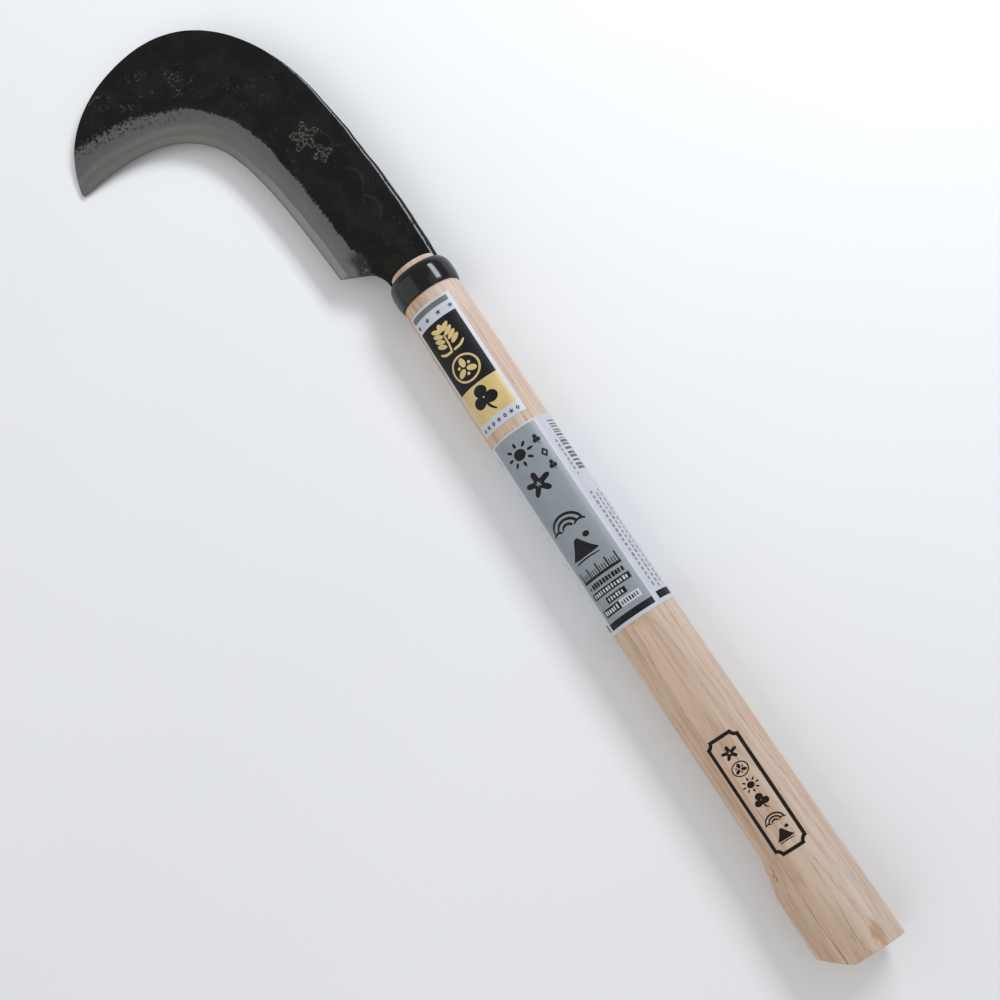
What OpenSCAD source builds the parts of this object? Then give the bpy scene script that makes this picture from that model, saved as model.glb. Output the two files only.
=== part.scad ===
// Heavy hand sickle: a forged hooked blade on a long oval wooden handle, with a black steel ring
// on the handle's head. Everything is drawn in the tool's own frame, where x runs along the handle
// from the butt, y points to the cutting side and z = 0 is the middle of the blade. at_rest() then
// lays the tool on the ground: the butt, the ring and the blade's point touch z = 0.

/* [Handle] */
// Length of the wooden handle
handle_len = 330; // [250:5:400]
// Half width of the handle near the butt
butt_half_w = 14.9; // [13:0.1:17]
// Half width of the handle just below the ring
top_half_w = 13.7; // [12.5:0.1:15]
// Thickness of the handle's oval over its width
flatness = 0.87; // [0.8:0.01:1]
// How far the middle of the handle bows towards the cutting side
bow = 1.1; // [0:0.1:3]
// Extra half width of the flared butt, on the cutting side only
flare = 4.3; // [1:0.1:8]
// Length of the flared butt
flare_len = 35; // [25:1:45]
// Tilt of the saw cut across the butt, in degrees
butt_tilt = 7; // [0:1:12]

/* [Head and ring] */
// Half width of the shouldered head inside the ring
head_half_w = 11; // [10:0.1:11.5]
// Half thickness of the shouldered head
head_half_t = 9.8; // [9:0.1:10.5]
// Length of the ring
ring_len = 12.2; // [8:0.1:16]
// Length of bare wood that stands proud of the ring
lip_len = 2.8; // [2:0.1:6]
// Largest half width of the ring
ring_half_w = 14.7; // [13.5:0.1:16]
// Diameter of the pin through the head and the tang
pin_d = 4; // [3:0.5:5]

/* [Blade] */
// Thickness of the blade at its neck
neck_t = 5; // [4:0.5:6]
// Thickness of the blade at its outer end
crown_t = 3.4; // [3:0.1:4]
// Half width of the neck where it sits on the ring
neck_half_w = 11.7; // [11.5:0.1:12.5]
// Width of the ground bevel at the heel
heel_bevel = 11; // [8:0.5:14]
// Width of the ground bevel near the point
point_bevel = 17; // [12:0.5:20]
// Width of the chamfer along the spine at the neck
spine_chamfer = 1.5; // [0.5:0.1:2]
// Thickness of the hard-steel layer
core_t = 1.2; // [0.8:0.1:1.6]
// Depth of the hard-steel layer behind the cutting edge
core_depth = 12; // [8:1:16]

/* [Labels] */
// Thickness of the paper labels
paper_t = 0.2; // [0.1:0.05:0.3]
// Length of the upper label
upper_label_len = 60.7; // [50:0.1:62]
// Length of the lower label
lower_label_len = 91; // [80:1:95]
// Length of the printed frame near the butt
mark_len = 50.5; // [40:0.5:60]
// Width of the printed frame
mark_w = 14.5; // [10:0.5:16]

/* [Hidden] */

GAP = 0.05;           // gap between the fitted faces
SIDES = 48;           // facets round the handle; the labels share them
HALF_BUTT_T = butt_half_w * flatness;
FAR = 40;             // reach of the cutting shapes beyond the wood

// Where the ring and the shoulder under it sit along the handle
ring_top_x = handle_len - lip_len;
ring_low_x = ring_top_x - ring_len;
pin_x = ring_low_x + 6;
pin_half_len = head_half_t - 0.3;

// Tang behind the ring: it tapers towards its tail
tang_len = 52;
tang_root_half_w = 8;
tang_tail_half_w = 4;
tang_t = neck_t - 0.4;      // the tang is forged a little thinner than the neck

// Slanted cut across the flared corner of the butt
corner_cut_y = 4;
corner_cut_angle = 31.5;

// Blade outline in the tool's frame: each curve is a chain of cubic pieces through a few knots.
// A knot is [point, heading in degrees, reach of its handle behind, reach ahead].
heel_knot = [[handle_len + 15.5, 28.8], 3, 0, 30];
belly_knot = [[handle_len + 99.5, 42.5], 32, 19, 27];
point_knot = [[handle_len + 121, 107], 94, 22, 0];
neck_knot = [[ring_top_x, -neck_half_w], -4, 0, 31];
back_knot = [[handle_len + 90, -8], 7, 29, 34];
crown_knot = [[handle_len + 162.4, 55], 92, 39, 25];
point_back_knot = [[handle_len + 121, 107], 168, 29, 0];
notch = [handle_len + 9, 15.6];         // inner corner between the neck and the heel
throat = [handle_len + 4, 13.2];        // where the neck starts to widen

EDGE_T = 0.3;         // thickness left at the cutting edge
BLADE_STEPS = 36;     // cross-sections between the heel and the point
CURVE_STEPS = 16;     // samples on each cubic piece
HEEL_SHARE = 0.035;   // share of the spine's length that lies beside the neck

function dir(a) = [cos(a), sin(a)];
function cubic(a, b, c, d, t) =
    a * pow(1 - t, 3) + 3 * b * t * pow(1 - t, 2) + 3 * c * t * t * (1 - t) + d * pow(t, 3);
function piece(k, m, t) = cubic(k[0], k[0] + k[3] * dir(k[1]), m[0] - m[2] * dir(m[1]), m[0], t);
function chain(knots) = [
    for (i = [0 : len(knots) - 2], j = [0 : CURVE_STEPS - 1])
        piece(knots[i], knots[i + 1], j / CURVE_STEPS),
    knots[len(knots) - 1][0]];
function run(pts, i = 0, sum = 0) =
    i == len(pts) - 1 ? [sum] : concat([sum], run(pts, i + 1, sum + norm(pts[i + 1] - pts[i])));
// Point at a share f of a curve's length
function at_share(pts, lengths, f) = let (s = f * lengths[len(lengths) - 1]) [
    lookup(s, [for (i = [0 : len(pts) - 1]) [lengths[i], pts[i][0]]]),
    lookup(s, [for (i = [0 : len(pts) - 1]) [lengths[i], pts[i][1]]])];

edge_curve = chain([heel_knot, belly_knot, point_knot]);
spine_curve = chain([neck_knot, back_knot, crown_knot, point_back_knot]);
edge_run = run(edge_curve);
spine_run = run(spine_curve);
point_xy = point_knot[0];

// Lying at rest, the tool rolls towards the cutting side until the blade's back touches the
// ground near the point
function back_point(f) = at_share(spine_curve, spine_run, HEEL_SHARE + (1 - HEEL_SHARE) * f);
function blade_w(f) = norm(back_point(f) - at_share(edge_curve, edge_run, f));
roll = min([for (i = [60 : 98]) let (f = i / 100)
    asin((HALF_BUTT_T - half_t(f, blade_w(f))) / back_point(f)[1])]);
function reach(a, b, angle) = sqrt(pow(a * cos(angle), 2) + pow(b * sin(angle), 2));
rest_h = reach(HALF_BUTT_T, butt_half_w + flare, roll);
mid_x = (max([for (p = spine_curve) p[0]]) - HALF_BUTT_T * tan(butt_tilt)) / 2;
mid_y = (point_xy[1] * cos(roll) - reach(butt_half_w, HALF_BUTT_T, roll)) / 2;

module at_rest() {
    translate([-mid_x, -mid_y, rest_h])
        rotate([-roll, 0, 0])
            children();
}

// ---- handle surface, shared by the wood and what is stuck or printed on it ----

function bow_at(x) = bow * (1 - pow((2 * x - handle_len) / handle_len, 2));
function half_w(x) = butt_half_w + (top_half_w - butt_half_w) * x / ring_low_x;
// The flare: a hollow rise over flare_rise, a corner, then nearly parallel to the axis
flare_rise = 20;
function flare_at(x) =
    x >= flare_len + flare_rise ? 0 :
    x >= flare_len ? (flare - 0.5) * pow((flare_len + flare_rise - x) / flare_rise, 1.5) :
    flare - 0.5 * x / flare_len;
// A point of the handle's surface, raised by lift; the angle turns from the cutting side to the top
function skin(x, angle, lift = 0) = let (
        a = half_w(x) + (cos(angle) > 0 ? flare_at(x) : 0),
        b = half_w(x) * flatness)
    [x, bow_at(x) + (a + lift) * cos(angle), (b + lift) * sin(angle)];

label_gap = 4.7;
label_margin = 5.3;   // bare wood between the ring and the upper label
upper_label_x = [ring_low_x - label_margin - upper_label_len, ring_low_x - label_margin];
lower_label_x = [upper_label_x[0] - label_gap - lower_label_len, upper_label_x[0] - label_gap];
mark_x = [48, 48 + mark_len];
mark_y = 1.2;
flare_x = [for (i = [0 : 6]) flare_len + flare_rise * i / 6];
body_x = concat([-3, flare_len / 2], flare_x,
                [(flare_len + flare_rise + lower_label_x[0]) / 2, lower_label_x[0],
                 (lower_label_x[0] + lower_label_x[1]) / 2, lower_label_x[1], upper_label_x[0],
                 upper_label_x[0] + upper_label_len / 2, upper_label_x[1]]);
LABEL_STEP = 360 / SIDES;

// Solid through equal rings of points, closed at both ends. A bent strip's end can't be one flat
// polygon that is filled from a corner, so a strip closes its ends with a row of small faces.
module loft(rings, strip = false) {
    n = len(rings[0]);
    last = len(rings) - 1;
    points = [for (r = rings, p = r) p];
    sides = [for (i = [0 : last - 1], j = [0 : n - 1]) let (
            k = (j + 1) % n,
            a = i * n,
            b = a + n)
        each [[a + j, b + k, a + k], [a + j, b + j, b + k]]];
    cap = strip ? [for (j = [0 : n / 2 - 2]) [j, j + 1, n - 2 - j, n - 1 - j]]
                : [[for (j = [0 : n - 1]) j]];
    far_cap = [for (f = cap) [for (i = [len(f) - 1 : -1 : 0]) last * n + f[i]]];
    polyhedron(points, concat(sides, cap, far_cap), convexity = 6);
}

// Thin sheet that lies on the handle between the given stations and angles
module sheet(xs, angles, thickness) {
    rings = [for (x = xs) concat(
        [for (a = angles) skin(x, a)],
        [for (i = [len(angles) - 1 : -1 : 0]) skin(x, angles[i], thickness)])];
    loft(rings, strip = true);
}

// Oval ring of points across the tool at a station
function oval(x, a, b) = [for (j = [0 : SIDES - 1]) let (angle = j * LABEL_STEP)
    [x, a * cos(angle), b * sin(angle)]];

module wood_blank() {
    tuck = 0.6;         // the wood rounds in slightly to meet the ring
    tuck_len = 0.8;
    rounding = 0.6;     // rounded rim of the bare end
    body = [for (x = body_x) [for (j = [0 : SIDES - 1]) skin(x, j * LABEL_STEP)]];
    tucked = [for (step = [[-tuck_len, tuck / 3], [0, tuck]])
        [for (j = [0 : SIDES - 1]) skin(ring_low_x + step[0], j * LABEL_STEP, -step[1])]];
    head = [
        oval(ring_low_x + 0.01, head_half_w, head_half_t),
        oval(handle_len - rounding, head_half_w, head_half_t),
        oval(handle_len, head_half_w - rounding, head_half_t - rounding)];
    loft(concat(body, tucked, head));
}

// Flat plan of the tang behind the ring, grown by the given amount
module tang_plan(grow = 0) {
    tail_x = ring_low_x - tang_len - grow;
    root_x = ring_low_x + 1;
    root = tang_root_half_w + grow;
    tail = tang_tail_half_w + grow;
    polygon([[tail_x, -tail], [root_x, -root], [root_x, root], [tail_x, tail]]);
}

module pin_hole() {
    translate([pin_x, 0, -FAR / 2])
        cylinder(h = FAR, d = pin_d + 2 * GAP, $fn = 48);
}

module handle() {
    color("burlywood") at_rest() difference() {
        wood_blank();
        // Slot through the head for the neck
        translate([ring_low_x + 0.5, -FAR / 2, -neck_t / 2 - GAP])
            cube([FAR, FAR, neck_t + 2 * GAP]);
        // Mortise for the tang
        linear_extrude(tang_t + 2 * GAP, center = true)
            tang_plan(GAP);
        // The pin passes through both cheeks
        pin_hole();
        // Saw cut across the butt, then the slanted cut across its flared corner
        rotate([0, butt_tilt, 0])
            translate([-FAR, -FAR, -FAR])
                cube([FAR, 2 * FAR, 2 * FAR]);
        translate([0, corner_cut_y, -FAR / 2])
            rotate([0, 0, -corner_cut_angle])
                translate([-FAR, -FAR, 0])
                    cube([FAR, 2 * FAR, FAR]);
    }
}

module ferrule() {
    // The ring bulges like a barrel: share of its length from the low rim, drop from its widest
    barrel = [[0, 0.65], [0.12, 0.3], [0.4, 0], [0.6, 0.03], [0.75, 0.26], [0.88, 0.8], [0.95, 1.3],
              [1, 1.8]];
    low_x = ring_low_x + GAP;
    bore = [for (x = [ring_low_x - 1, handle_len]) oval(x, head_half_w + GAP, head_half_t + GAP)];
    color([0.05, 0.05, 0.05]) at_rest() difference() {
        loft([for (s = barrel)
            oval(low_x + s[0] * (ring_top_x - low_x), ring_half_w - s[1], HALF_BUTT_T - s[1])]);
        loft(bore);
    }
}

module tang_pin() {
    color("silver") at_rest()
        translate([pin_x, 0, -pin_half_len])
            cylinder(h = 2 * pin_half_len, d = pin_d, $fn = 48);
}

// ---- blade ----

CHAMFER_FADES = 0.55;   // share of the spine where the chamfer has faded to MIN_CHAMFER
MIN_CHAMFER = 0.25;
CHAMFER_SLOPE = 0.8;    // drop of the chamfer over its width

function thick_at(f) = neck_t + (crown_t - neck_t) * f;
function bevel_at(f) = heel_bevel + (point_bevel - heel_bevel) * f;
function chamfer_at(f) = max(MIN_CHAMFER, spine_chamfer * (1 - f / CHAMFER_FADES));
// Half thickness at a distance s from the cutting edge
function half_t(f, s) = let (rise = (thick_at(f) - EDGE_T) / 2 * s / bevel_at(f))
    min(thick_at(f) / 2, EDGE_T / 2 + rise);

// One cross-section: it runs from the spine to the edge on top and back underneath.
// s lists the distances from the edge and z the half thicknesses there.
function section(edge_pt, spine_pt, s, z) = let (
        d = (spine_pt - edge_pt) / norm(spine_pt - edge_pt),
        plan = [for (v = s) edge_pt + d * v],
        n = len(s))
    concat([for (i = [0 : n - 1]) [plan[i][0], plan[i][1], z[i]]],
           [for (i = [n - 1 : -1 : 0]) [plan[i][0], plan[i][1], -z[i]]]);

function blade_section(f) = let (
        e = at_share(edge_curve, edge_run, f),
        p = back_point(f),
        w = norm(p - e),
        c = min(chamfer_at(f), 0.1 * w),
        shoulder = min(bevel_at(f), 0.75 * w),
        drop = CHAMFER_SLOPE * c * 2 * half_t(f, w) / thick_at(f))
    section(e, p, [w, w - c, shoulder, 0],
            [half_t(f, w) - drop, half_t(f, w - c), half_t(f, shoulder), EDGE_T / 2]);

// Square-edged cross-section of the neck between two outline points
function neck_section(edge_pt, spine_pt) = let (w = norm(spine_pt - edge_pt), half = neck_t / 2)
    section(edge_pt, spine_pt, [w, w - spine_chamfer, 0.6, 0],
            [half - CHAMFER_SLOPE * spine_chamfer, half, half, half]);

// The sections stop just short of the point, where their width would be zero
LAST_SHARE = 0.985;

module blade_blank() {
    neck = [
        neck_section([ring_top_x, neck_half_w], neck_knot[0]),
        neck_section(throat, at_share(spine_curve, spine_run, 0.02)),
        neck_section(notch, at_share(spine_curve, spine_run, HEEL_SHARE - 0.004))];
    body = [for (i = [0 : BLADE_STEPS]) blade_section(LAST_SHARE * i / BLADE_STEPS)];
    rings = concat(neck, body);
    n = len(rings[0]);
    last = len(rings) - 1;
    tip = (last + 1) * n;
    points = concat([for (r = rings, p = r) p], [[point_xy[0], point_xy[1], 0]]);
    sides = [for (i = [0 : last - 1], j = [0 : n - 1]) let (
            k = (j + 1) % n,
            a = i * n,
            b = a + n)
        each [[a + j, a + k, b + k], [a + j, b + k, b + j]]];
    start = [[for (j = [n - 1 : -1 : 0]) j]];
    end = [for (j = [0 : n - 1]) [last * n + j, last * n + (j + 1) % n, tip]];
    polyhedron(points, concat(sides, start, end), convexity = 6);
}

// Slab that holds the hard steel: a band along the cutting edge, in the middle of the thickness
module core_slab() {
    steps = 24;
    overhang = 3;     // reach past the cutting edge, which trims it
    share = [for (i = [0 : steps]) LAST_SHARE * i / steps];
    inner = [for (f = share) let (
            e = at_share(edge_curve, edge_run, f),
            p = back_point(f),
            w = norm(p - e))
        e + (p - e) / w * min(core_depth, 0.6 * w)];
    outer = [for (f = share) let (
            e = at_share(edge_curve, edge_run, f),
            p = back_point(f))
        e - (p - e) / norm(p - e) * overhang];
    linear_extrude(core_t, center = true)
        polygon(concat(inner, [point_xy + [0, overhang]], [for (i = [steps : -1 : 0]) outer[i]]));
}

module blade() {
    root_half_w = head_half_w - 0.3;
    root_t = neck_t - 0.2;
    color([0.13, 0.13, 0.13]) at_rest() difference() {
        union() {
            blade_blank();
            // Shouldered part of the neck inside the ring, then the tang in its mortise
            translate([ring_low_x + 0.8, -root_half_w, -root_t / 2])
                cube([ring_len + 2, 2 * root_half_w, root_t]);
            linear_extrude(tang_t - 2 * GAP, center = true)
                tang_plan();
        }
        core_slab();
        pin_hole();
    }
}

module edge_steel() {
    color([0.55, 0.56, 0.58]) at_rest() intersection() {
        blade_blank();
        core_slab();
    }
}

// ---- labels and print ----

module upper_label() {
    angles = [for (j = [4 : 17]) j * LABEL_STEP];
    xs = [for (x = body_x) if (x >= upper_label_x[0] && x <= upper_label_x[1]) x];
    color("black") at_rest()
        sheet(xs, angles, paper_t);
}

module lower_label() {
    angles = [for (j = [-10 : 34]) j * LABEL_STEP];
    xs = [for (x = body_x) if (x >= lower_label_x[0] && x <= lower_label_x[1]) x];
    color("slategray") at_rest()
        sheet(xs, angles, paper_t);
}

// Closed outline of the printed frame, set in by the given amount, with scooped corners
function frame_outline(inset) = let (
        scoop = 2.2,
        r = scoop + inset,
        start = asin(inset / r),
        low = mark_y - mark_w / 2,
        high = mark_y + mark_w / 2,
        corners = [[mark_x[0], low], [mark_x[1], low], [mark_x[1], high], [mark_x[0], high]],
        arcs = [for (k = [0 : 3]) [for (i = [0 : 4])
            corners[k] + r * dir(90 * k + 90 - start - (90 - 2 * start) * i / 4)]],
        side_steps = 8)
    [for (k = [0 : 3]) let (next = arcs[(k + 1) % 4][0])
        each concat(arcs[k], [for (i = [1 : side_steps - 1])
            arcs[k][4] + (next - arcs[k][4]) * i / side_steps])];

// A plan point carried up to the handle's oval and raised by lift
function on_handle(p, lift) = let (
        a = half_w(p[0]) + (p[1] > bow_at(p[0]) ? flare_at(p[0]) : 0),
        off = (p[1] - bow_at(p[0])) / a)
    [p[0], p[1], half_w(p[0]) * flatness * sqrt(1 - off * off) + lift];

module butt_mark() {
    line_w = 1.4;
    ink_low = 0.03;
    ink_high = 0.15;
    outer = frame_outline(0);
    inner = frame_outline(line_w);
    n = len(outer);
    points = [for (i = [0 : n - 1]) each [
        on_handle(outer[i], ink_low), on_handle(outer[i], ink_high),
        on_handle(inner[i], ink_high), on_handle(inner[i], ink_low)]];
    faces = [for (i = [0 : n - 1], j = [0 : 3]) let (m = (i + 1) % n, k = (j + 1) % 4)
        each [[i * 4 + j, i * 4 + k, m * 4 + k], [i * 4 + j, m * 4 + k, m * 4 + j]]];
    color([0.04, 0.04, 0.04]) at_rest()
        polyhedron(points, faces, convexity = 4);
}

blade();
edge_steel();
handle();
ferrule();
tang_pin();
upper_label();
lower_label();
butt_mark();
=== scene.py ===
"""Looks of a heavy hand sickle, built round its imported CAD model.

Shapes are worked out in millimetres in the tool's own frame, where x runs along the handle from
the butt, y points to the cutting side and z = 0 is the middle of the blade. to_row() takes them
into the model's frame, in metres, by way of the pin that the CAD model places through the head.
"""

import math

import bmesh
import bpy
import numpy as np
from mathutils import Matrix, Vector, noise


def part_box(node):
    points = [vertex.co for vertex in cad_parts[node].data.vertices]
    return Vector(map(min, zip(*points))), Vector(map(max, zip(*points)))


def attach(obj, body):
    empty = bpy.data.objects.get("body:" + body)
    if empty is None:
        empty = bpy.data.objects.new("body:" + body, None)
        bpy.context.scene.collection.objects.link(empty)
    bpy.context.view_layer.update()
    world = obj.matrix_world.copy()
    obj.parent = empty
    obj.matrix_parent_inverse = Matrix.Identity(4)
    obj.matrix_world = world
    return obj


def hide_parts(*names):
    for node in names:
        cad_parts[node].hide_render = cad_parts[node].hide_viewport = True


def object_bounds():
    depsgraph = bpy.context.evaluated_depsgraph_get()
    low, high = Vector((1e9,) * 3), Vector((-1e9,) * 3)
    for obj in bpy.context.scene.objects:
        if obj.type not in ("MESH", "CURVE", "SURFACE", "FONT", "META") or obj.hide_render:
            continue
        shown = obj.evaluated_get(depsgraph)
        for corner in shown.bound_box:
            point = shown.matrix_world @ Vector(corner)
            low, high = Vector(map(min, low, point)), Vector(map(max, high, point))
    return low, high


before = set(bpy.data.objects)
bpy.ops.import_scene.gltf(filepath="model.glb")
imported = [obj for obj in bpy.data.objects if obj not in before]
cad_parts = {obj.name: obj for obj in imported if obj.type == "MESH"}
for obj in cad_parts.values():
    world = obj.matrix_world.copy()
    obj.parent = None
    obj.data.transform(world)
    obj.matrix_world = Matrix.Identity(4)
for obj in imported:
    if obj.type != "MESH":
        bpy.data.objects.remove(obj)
cad_box = [[float(c) for c in corner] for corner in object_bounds()]

# ---- the CAD model's numbers, in millimetres and degrees ----
HANDLE_LEN = 330.0
BUTT_HALF_W, TOP_HALF_W, FLATNESS, BOW = 14.9, 13.7, 0.87, 1.1
HALF_BUTT_T = BUTT_HALF_W * FLATNESS
FLARE, FLARE_LEN, FLARE_RISE = 4.3, 35.0, 20.0
BUTT_TILT, CORNER_Y, CORNER_ANGLE = 7.0, 4.0, 31.5
HEAD_HALF_W, HEAD_HALF_T = 11.0, 9.8
RING_TOP, RING_LOW, RING_HALF_W = 327.2, 315.0, 14.7
PIN_X = 321.0
NECK_T, CROWN_T, NECK_HALF_W = 5.0, 3.4, 11.7
SPINE_CHAMFER, CHAMFER_FADES, MIN_CHAMFER, HEEL_SHARE = 1.5, 0.55, 0.25, 0.035
GAP = 0.05
PAPER_T = 0.2
UPPER_X, LOWER_X, MARK_X = (249.0, 309.7), (153.3, 244.3), (48.0, 98.5)
UPPER_ANGLES, LOWER_ANGLES = (30.0, 127.5), (-75.0, 255.0)
MARK_Y, MARK_W, MARK_LINE_W = 1.2, 14.5, 1.4
ROLL = math.radians(6.40045)

# ---- tool frame to row frame ----
pin_low, pin_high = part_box("tang_pin")
ORIGIN = np.array((pin_low + pin_high) / 2) * 1000 - (PIN_X, 0, 0)


def to_row(points):
    """Tool-frame millimetres to row-frame metres."""
    p = np.asarray(points, float).reshape(-1, 3)
    c, s = math.cos(ROLL), math.sin(ROLL)
    out = np.stack([p[:, 0], p[:, 1] * c + p[:, 2] * s, p[:, 2] * c - p[:, 1] * s], 1)
    return (out + ORIGIN) / 1000


def smooth(x):
    x = np.clip(x, 0, 1)
    return x * x * (3 - 2 * x)


def bumps(points, size, seed=0.0):
    """Smooth noise from -1 to 1 at each point, with features of about the given size."""
    return np.array([noise.noise(Vector((p[0] / size + seed, p[1] / size - seed, p[2] / size)))
                     for p in points])


def waver(values, row):
    """Smooth noise from -1 to 1 along one line; the row picks the line."""
    return np.array([noise.noise(Vector((v, row, 0))) for v in values])


def show(name, data):
    obj = bpy.data.objects.new(name, data)
    bpy.context.scene.collection.objects.link(obj)
    return obj


# ---- mesh making ----
def build(name, points, faces, material, sharp=30, attrs=None, in_row=False):
    """Mesh object from tool-frame points, or from row-frame ones if in_row is set."""
    mesh = bpy.data.meshes.new(name)
    co = np.asarray(points, float) if in_row else to_row(points)
    mesh.from_pydata(co.tolist(), [], [list(map(int, f)) for f in faces])
    for key, values in (attrs or {}).items():
        layer = mesh.attributes.new(key, "FLOAT", "POINT")
        layer.data.foreach_set("value", np.asarray(values, np.float32))
    mesh.validate()
    mesh.update()
    bm = bmesh.new()
    bm.from_mesh(mesh)
    bmesh.ops.recalc_face_normals(bm, faces=bm.faces)
    bm.to_mesh(mesh)
    bm.free()
    mesh.polygons.foreach_set("use_smooth", [True] * len(mesh.polygons))
    mesh.set_sharp_from_angle(angle=math.radians(sharp))
    mesh.materials.append(material)
    return show(name, mesh)


def loft_faces(rows, cols, caps=True):
    """Faces of a grid of closed rows of cols points each; caps close the two ends."""
    faces = []
    for i in range(rows - 1):
        for j in range(cols):
            k = (j + 1) % cols
            a, b = i * cols, (i + 1) * cols
            faces.append((a + j, a + k, b + k, b + j))
    if caps:
        faces.append(tuple(range(cols))[::-1])
        faces.append(tuple((rows - 1) * cols + j for j in range(cols)))
    return faces


def tube_faces(rows, cols):
    """The same grid with its last row joined to its first."""
    last = (rows - 1) * cols
    return loft_faces(rows, cols, caps=False) + [
        (last + j, last + (j + 1) % cols, (j + 1) % cols, j) for j in range(cols)]


def oval(x, a, b, t):
    """Ring of points across the tool at a station, at the angles t in radians."""
    return np.column_stack([np.full(len(t), x), a * np.cos(t), b * np.sin(t)])


# ---- the handle's surface ----
def bow_at(x):
    return BOW * (1 - ((2 * x - HANDLE_LEN) / HANDLE_LEN) ** 2)


def half_w(x):
    return BUTT_HALF_W + (TOP_HALF_W - BUTT_HALF_W) * x / RING_LOW


def flare_at(x):
    rise = (FLARE - 0.5) * np.clip((FLARE_LEN + FLARE_RISE - x) / FLARE_RISE, 0, 1) ** 1.5
    return np.where(x >= FLARE_LEN, rise, FLARE - 0.5 * x / FLARE_LEN)


def skin(x, angle, lift=0.0):
    """Points on the handle; the angle, in degrees, turns from the cutting side to the top."""
    x, angle, lift = np.broadcast_arrays(np.asarray(x, float), np.asarray(angle, float), lift)
    t = np.radians(angle)
    a = half_w(x) + np.where(np.cos(t) > 0, flare_at(x), 0)
    b = half_w(x) * FLATNESS
    return np.stack([x, bow_at(x) + (a + lift) * np.cos(t), (b + lift) * np.sin(t)], -1)


# ---- materials: a short way to write node trees ----
class Look:
    def __init__(self, name):
        self.mat = bpy.data.materials.new(name)
        self.mat.use_nodes = True
        self.tree = self.mat.node_tree
        self.bsdf = self.tree.nodes["Principled BSDF"]

    def put(self, socket, value):
        if hasattr(value, "is_output"):
            self.tree.links.new(value, socket)
        elif value is not None:
            socket.default_value = value

    def node(self, kind, out=0, props=None, **inputs):
        """New node; inputs go by name, or as i0, i1 ... by place. Gives its output number out."""
        n = self.tree.nodes.new("ShaderNode" + kind)
        for key, value in (props or {}).items():
            setattr(n, key, value)
        for key, value in inputs.items():
            key = key.replace("_", " ")
            self.put(n.inputs[int(key[1:]) if key[0] == "i" and key[1:].isdigit() else key], value)
        return n.outputs[out]

    def coords(self, scale=(1, 1, 1), turn=0.0, offset=(0, 0, 0)):
        """Object coordinates in millimetres, scaled; turn tips them about the handle's axis."""
        co = self.node("TexCoord", 3)
        return self.node("Mapping", Vector=co, Scale=[1000 * s for s in scale],
                         Rotation=(turn, 0, 0), Location=offset)

    def noise(self, vector, scale=1.0, detail=3.0, rough=0.5, warp=0.0):
        return self.node("TexNoise", Vector=vector, Scale=scale, Detail=detail, Roughness=rough,
                         Distortion=warp)

    def grain(self, scale, turn=0.0, offset=(0, 0, 0), detail=2.0, rough=0.5, warp=0.0):
        """Noise in stretched coordinates."""
        return self.noise(self.coords(scale, turn, offset), 1, detail, rough, warp)

    def math(self, op, *values):
        inputs = {f"i{k}": value for k, value in enumerate(values)}
        return self.node("Math", props={"operation": op}, **inputs)

    def add(self, a, b):
        return self.math("ADD", a, b)

    def sub(self, a, b):
        return self.math("SUBTRACT", a, b)

    def mul(self, a, b):
        return self.math("MULTIPLY", a, b)

    def most(self, a, b):
        return self.math("MAXIMUM", a, b)

    def swing(self, field, amount):
        """A noise field moved to swing about zero, times the amount."""
        return self.mul(self.sub(field, 0.5), amount)

    def off(self, value, middle):
        """Distance of the value from a middle value."""
        return self.math("ABSOLUTE", self.sub(value, middle))

    def vector(self, op, out, a, b=None):
        return self.node("VectorMath", out, props={"operation": op}, i0=a, i1=b)

    def pair(self, x, y):
        return self.node("CombineXYZ", X=x, Y=y)

    def axis(self, vector, axis):
        return self.node("SeparateXYZ", axis, Vector=vector)

    def step(self, value, low, high, a=0.0, b=1.0):
        """Smooth step: a below low, b above high."""
        return self.node("MapRange", props={"interpolation_type": "SMOOTHSTEP"}, Value=value,
                         From_Min=low, From_Max=high, To_Min=a, To_Max=b)

    def mix(self, fac, a, b):
        out = self.node("Mix", 2, props={"data_type": "RGBA"})
        ins = out.node.inputs
        self.put(ins[0], fac)
        for socket, v in ((ins[6], a), (ins[7], b)):
            self.put(socket, v if hasattr(v, "is_output") else (*v, 1))
        return out

    def cover(self, base, mask, share, colour):
        """Lays a colour over the base where the mask is, at most by the share."""
        return self.mix(self.mul(mask, share), base, colour)

    def bump(self, height, strength, distance):
        return self.node("Bump", Strength=strength, Distance=distance, Height=height)

    def attr(self, name):
        return self.node("Attribute", 2, props={"attribute_name": name})

    def surface(self, **inputs):
        for key, value in inputs.items():
            self.put(self.bsdf.inputs[key.replace("_", " ")], value)
        return self.mat


# The wood: the middle of its growth rings, seen from the handle's axis, and how far it turns from
# that axis; the spacing of the rings; a ray fleck on the handle's face and its scale per metre
PITH_Y, PITH_Z = -9.0, -44.0
PITH_TILT, PITH_TURN = 0.022, 0.012
YEAR_W = 1.5
FLECK_AT = (6.2, -7.3, 11)
FLECK_SCALE = (175, 330, 330)


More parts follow.
